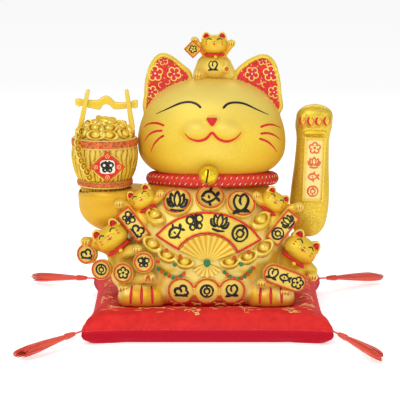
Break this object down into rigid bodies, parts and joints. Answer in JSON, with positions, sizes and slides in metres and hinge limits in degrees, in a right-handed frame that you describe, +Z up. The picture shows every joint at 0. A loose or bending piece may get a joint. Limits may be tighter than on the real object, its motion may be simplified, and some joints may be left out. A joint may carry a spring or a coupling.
{
  "type": "beckoning cat figurine",
  "caption": "Golden cast cat with a waving arm and a bucket of ingots on its palm, covered in relief cats, coins and a fan, standing on a tasselled brocade cushion.",
  "frame": {"origin": "centre of the cushion's underside, on the surface it stands on", "axes": "+Z up, the cat faces -Y, +X is the waving arm's side"},
  "size_m": [0.4897, 0.458, 0.3624],
  "materials": {
    "gold_glaze": "satin gold lustre over a cast body, shaded amber low down",
    "pearl_gold": "pearly gold lustre with a fine speckle",
    "pale_gold": "pale gold highlight on raised reliefs",
    "bright_gold": "bright gilding on coins, ingots and the bell",
    "bell_brass": "polished brass",
    "glitter_gold": "light moulded plastic arm with a gold glitter coat",
    "pale_plastic": "pale gold sign on the waving arm",
    "red_glaze": "orange red enamel paint",
    "green_glaze": "green enamel bead",
    "collar_cord": "twisted red cord with gold flecks",
    "cushion_brocade": "red satin brocade with gold sprigs",
    "tassel_thread": "orange red thread",
    "steel": "plain",
    "copper": "enamelled winding wire",
    "board": "circuit board",
    "black_plastic": "fine spark-eroded grain",
    "ivory_plastic": "plain",
    "rubber": "matt"
  },
  "bodies": {
    "figurine": {"cushion": "cushion_brocade", "body_shell": "gold_glaze", "head_shell": "pearl_gold", "bucket_arm": "gold_glaze", "collar_rope": "collar_cord", "fan_rivet": "green_glaze", "fan_leaf": "gold_glaze", "fan_sticks": "gold_glaze", "triple_coin_plaque": "gold_glaze", "oval_plaque": "pale_gold", "plaque_left": "pale_gold", "plaque_right": "pale_gold", "ingots_left": "bright_gold", "ingots_right": "bright_gold", "beads_left": "red_glaze", "beads_right": "red_glaze", "crown_cat": "pale_gold", "mechanism_frame": "ivory_plastic", "drive_coil": "copper", "circuit_board": "board", "power_unit_housing": "black_plastic", "battery_cell": "steel", "power_unit_screw_1": "steel", "power_unit_screw_2": "steel", "base_plug": "rubber", "coin_large_left": "gold_glaze", "coin_large_centre": "gold_glaze", "coin_large_right": "gold_glaze", "coin_small_1": "pale_gold", "coin_small_2": "pale_gold", "coin_small_3": "pale_gold", "coin_small_4": "pale_gold", "cat_upper_left": "pale_gold", "cat_upper_right": "pale_gold", "cat_lower_left": "pale_gold", "cat_lower_right": "pale_gold", "tassel_cord_front_left": "tassel_thread", "tassel_front_left": "tassel_thread", "tassel_cord_front_right": "tassel_thread", "tassel_front_right": "tassel_thread", "tassel_cord_back_left": "tassel_thread", "tassel_back_left": "tassel_thread", "tassel_cord_back_right": "tassel_thread", "tassel_back_right": "tassel_thread"},
    "waving_arm": {"arm_shell": "glitter_gold", "arm_plaque": "pale_plastic", "pivot_shaft": "steel", "pendulum_bar": "steel", "pendulum_magnet": "steel"},
    "bell": {"bell_shell": "bell_brass", "bell_pellet": "steel"},
    "bucket": {"bucket_tub": "gold_glaze", "bucket_treasure": "bright_gold", "bucket_upright_left": "pale_gold", "bucket_upright_right": "pale_gold", "bucket_yoke": "pale_gold", "bucket_charm": "red_glaze", "coin_chain": "bright_gold"},
    "battery_door": {"battery_door": "black_plastic"},
    "power_switch": {"power_switch": "ivory_plastic"}
  },
  "joints": [
    {"name": "arm_swing", "type": "hinge", "parent": "figurine", "child": "waving_arm", "pos_m": [0.127, 0, 0.135], "axis": [1, 0, 0], "range_deg": [-12, 20]},
    {"name": "bell_swing", "type": "hinge", "parent": "figurine", "child": "bell", "pos_m": [0.0014, -0.0585, 0.1839], "axis": [1, 0, 0], "range_deg": [-4, 8]},
    {"name": "bucket_lift", "type": "slide", "parent": "figurine", "child": "bucket", "axis": [0, 0, 1], "range_m": [0, 0.06]},
    {"name": "battery_door_hinge", "type": "hinge", "parent": "figurine", "child": "battery_door", "pos_m": [-0.012, 0.0817, 0.0613], "axis": [1, 0, 0], "range_deg": [-100, 0]},
    {"name": "power_switch_slide", "type": "slide", "parent": "figurine", "child": "power_switch", "axis": [0, 0, 1], "range_m": [0, 0.004]}
  ]
}
